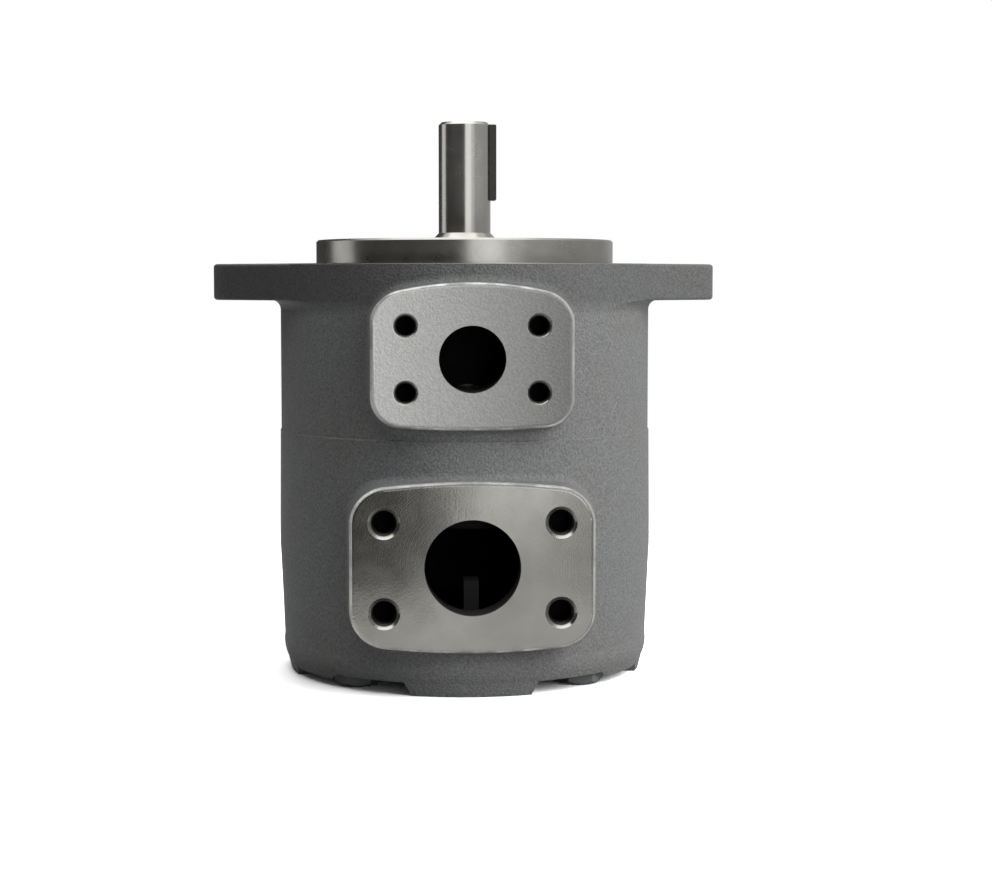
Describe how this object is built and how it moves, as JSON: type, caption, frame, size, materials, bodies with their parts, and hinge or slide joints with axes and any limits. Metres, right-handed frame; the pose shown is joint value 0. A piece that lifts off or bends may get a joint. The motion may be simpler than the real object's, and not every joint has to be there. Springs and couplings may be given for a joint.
{
  "type": "hydraulic vane pump",
  "caption": "Flange-mounted hydraulic vane pump with a keyed shaft, a discharge port beside the flange, a larger suction port below and a balanced cam-ring cartridge inside.",
  "frame": {"origin": "Centre of the flange's mounting face, on the shaft axis, where the pilot rises from it.", "axes": "+Z along the shaft towards the drive end, ports facing -Y, flange ears along X."},
  "size_m": [0.2144, 0.1636, 0.2332],
  "materials": {
    "cast_iron": "grey painted iron casting with machined faces",
    "screw_paint": "grey painted steel",
    "ground_steel": "ground",
    "key_steel": "black oxide",
    "seal_steel": "pressed sheet",
    "rubber": "matte nitrile",
    "spring_steel": "phosphated",
    "bearing_steel": "polished",
    "cage_steel": "pressed sheet",
    "plate_iron": "lapped",
    "hardened_steel": "ground",
    "bronze": "turned"
  },
  "bodies": {
    "housing": {"front_housing": "cast_iron", "rear_housing": "cast_iron", "cover_screws": "screw_paint", "seal_case": "seal_steel", "seal_lip": "rubber", "seal_spring": "spring_steel", "bearing_circlip": "spring_steel", "bearing_outer_race": "bearing_steel", "dowel_pins": "bearing_steel", "cartridge_screws": "key_steel", "pressure_plate": "plate_iron", "cam_ring": "hardened_steel", "side_plate": "plate_iron", "rear_bushing": "bronze", "hub_o_ring": "rubber", "plate_o_ring": "rubber", "housing_o_ring": "rubber"},
    "rotating_group": {"shaft": "ground_steel", "key": "key_steel", "rotor": "hardened_steel", "bearing_inner_race": "bearing_steel", "shaft_circlip": "spring_steel"},
    "ball_set": {"bearing_balls": "bearing_steel", "bearing_cage": "cage_steel"},
    "vane_01": {"vane_01": "hardened_steel"},
    "vane_02": {"vane_02": "hardened_steel"},
    "vane_03": {"vane_03": "hardened_steel"},
    "vane_04": {"vane_04": "hardened_steel"},
    "vane_05": {"vane_05": "hardened_steel"},
    "vane_06": {"vane_06": "hardened_steel"},
    "vane_07": {"vane_07": "hardened_steel"},
    "vane_08": {"vane_08": "hardened_steel"},
    "vane_09": {"vane_09": "hardened_steel"},
    "vane_10": {"vane_10": "hardened_steel"}
  },
  "joints": [
    {"name": "shaft_turn", "type": "hinge", "parent": "housing", "child": "rotating_group", "pos_m": [0, 0, 0], "axis": [0, 0, 1], "continuous": true},
    {"name": "cage_turn", "type": "hinge", "parent": "housing", "child": "ball_set", "pos_m": [0, 0, -0.012], "axis": [0, 0, 1], "continuous": true},
    {"name": "vane_01_slide", "type": "slide", "parent": "rotating_group", "child": "vane_01", "axis": [1, 0, 0], "range_m": [-0.00085, 0.00034]},
    {"name": "vane_02_slide", "type": "slide", "parent": "rotating_group", "child": "vane_02", "axis": [0.809, 0.5878, 0], "range_m": [-0.00085, 0.00103]},
    {"name": "vane_03_slide", "type": "slide", "parent": "rotating_group", "child": "vane_03", "axis": [0.309, 0.9511, 0], "range_m": [-0.00085, 0.00334]},
    {"name": "vane_04_slide", "type": "slide", "parent": "rotating_group", "child": "vane_04", "axis": [-0.309, 0.9511, 0], "range_m": [-0.00085, 0.00334]},
    {"name": "vane_05_slide", "type": "slide", "parent": "rotating_group", "child": "vane_05", "axis": [-0.809, 0.5878, 0], "range_m": [-0.00085, 0.00103]},
    {"name": "vane_06_slide", "type": "slide", "parent": "rotating_group", "child": "vane_06", "axis": [-1, 0, 0], "range_m": [-0.00085, 0.00034]},
    {"name": "vane_07_slide", "type": "slide", "parent": "rotating_group", "child": "vane_07", "axis": [-0.809, -0.5878, 0], "range_m": [-0.00085, 0.00103]},
    {"name": "vane_08_slide", "type": "slide", "parent": "rotating_group", "child": "vane_08", "axis": [-0.309, -0.9511, 0], "range_m": [-0.00085, 0.00334]},
    {"name": "vane_09_slide", "type": "slide", "parent": "rotating_group", "child": "vane_09", "axis": [0.309, -0.9511, 0], "range_m": [-0.00085, 0.00334]},
    {"name": "vane_10_slide", "type": "slide", "parent": "rotating_group", "child": "vane_10", "axis": [0.809, -0.5878, 0], "range_m": [-0.00085, 0.00103]}
  ],
  "couplings": [
    {"joint": "cage_turn", "follows": "shaft_turn", "ratio": 0.3965}
  ]
}
